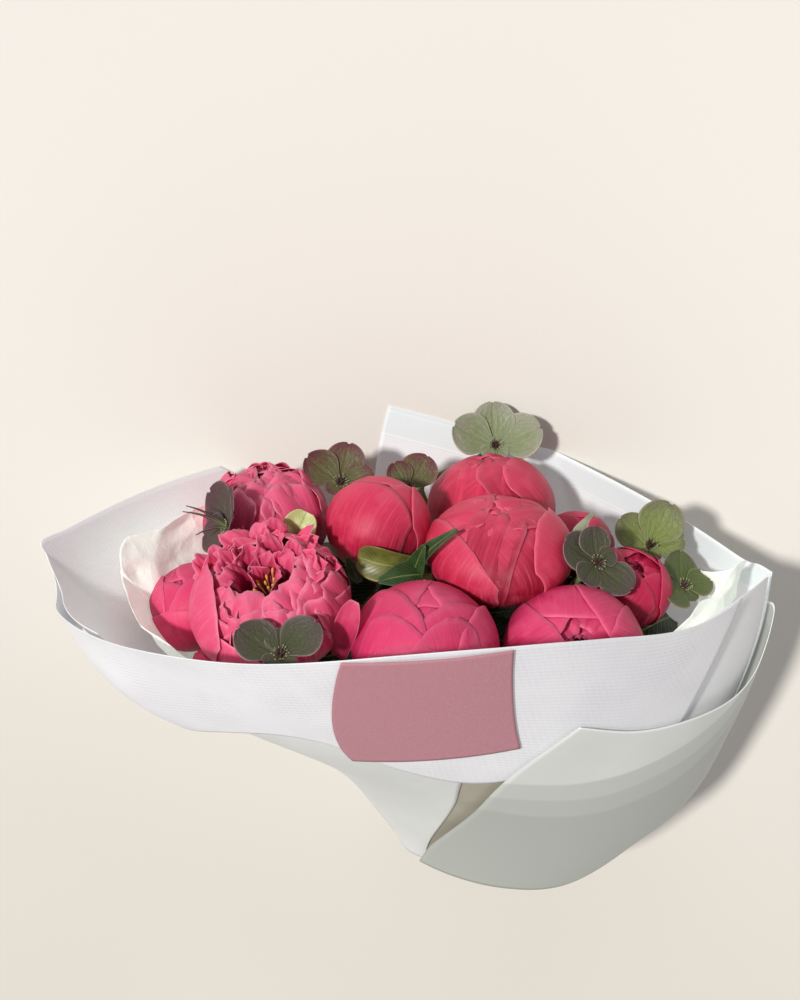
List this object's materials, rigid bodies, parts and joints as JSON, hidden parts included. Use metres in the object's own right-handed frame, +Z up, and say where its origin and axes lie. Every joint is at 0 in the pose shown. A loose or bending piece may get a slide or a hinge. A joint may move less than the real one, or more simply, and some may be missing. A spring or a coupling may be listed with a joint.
{
  "type": "wrapped bouquet of peonies",
  "caption": "Hand-tied bunch of pink peonies and hellebores in a cone of folded paper and tissue with a blank card, lying on its flat back.",
  "frame": {"origin": "centre of the footprint, on the surface that the bouquet lies on", "axes": "+X across the bouquet to the side that is left seen from its front, -Y the way the flowers point, +Z up"},
  "size_m": [0.4895, 0.3517, 0.2869],
  "materials": {
    "petals": "satin petals with a soft sheen",
    "stems": "waxy green stems, sepals and leaves",
    "hellebore_mauve": "matt, veined",
    "hellebore_grey": "matt, veined",
    "hellebore_dark": "matt, veined, pale rim",
    "hellebore_lime": "matt, veined",
    "white_paper": "fine linen emboss, satin",
    "grey_paper": "smooth satin",
    "tissue": "matt, crumpled",
    "twine": "matt twisted fibre",
    "card_stock": "smooth matt card"
  },
  "bodies": {
    "root": {"peony_1": "petals", "peony_stem_1": "stems", "peony_2": "petals", "peony_stem_2": "stems", "peony_3": "petals", "peony_stem_3": "stems", "peony_4": "petals", "peony_stem_4": "stems", "peony_5": "petals", "peony_stem_5": "stems", "peony_6": "petals", "peony_stem_6": "stems", "peony_7": "petals", "peony_stem_7": "stems", "peony_8": "petals", "peony_stem_8": "stems", "peony_9": "petals", "peony_stem_9": "stems", "peony_10": "petals", "peony_stem_10": "stems", "peony_11": "petals", "peony_stem_11": "stems", "peony_12": "petals", "peony_stem_12": "stems", "hellebore_1": "hellebore_mauve", "hellebore_2": "hellebore_mauve", "hellebore_3": "hellebore_grey", "hellebore_4": "hellebore_mauve", "hellebore_5": "hellebore_dark", "hellebore_6": "hellebore_dark", "hellebore_7": "hellebore_lime", "hellebore_8": "hellebore_lime", "hellebore_stem_1": "stems", "hellebore_stem_2": "stems", "hellebore_stem_3": "stems", "hellebore_stem_4": "stems", "hellebore_stem_5": "stems", "hellebore_stem_6": "stems", "hellebore_stem_7": "stems", "tie": "twine", "tissue_left": "tissue", "tissue_right": "tissue", "wrap_inner": "white_paper", "wrap_back_left": "white_paper", "wrap_back_right": "white_paper", "wrap_front_left": "white_paper", "wrap_collar": "white_paper", "wrap_outer_right": "grey_paper", "card": "card_stock"}
  },
  "joints": []
}
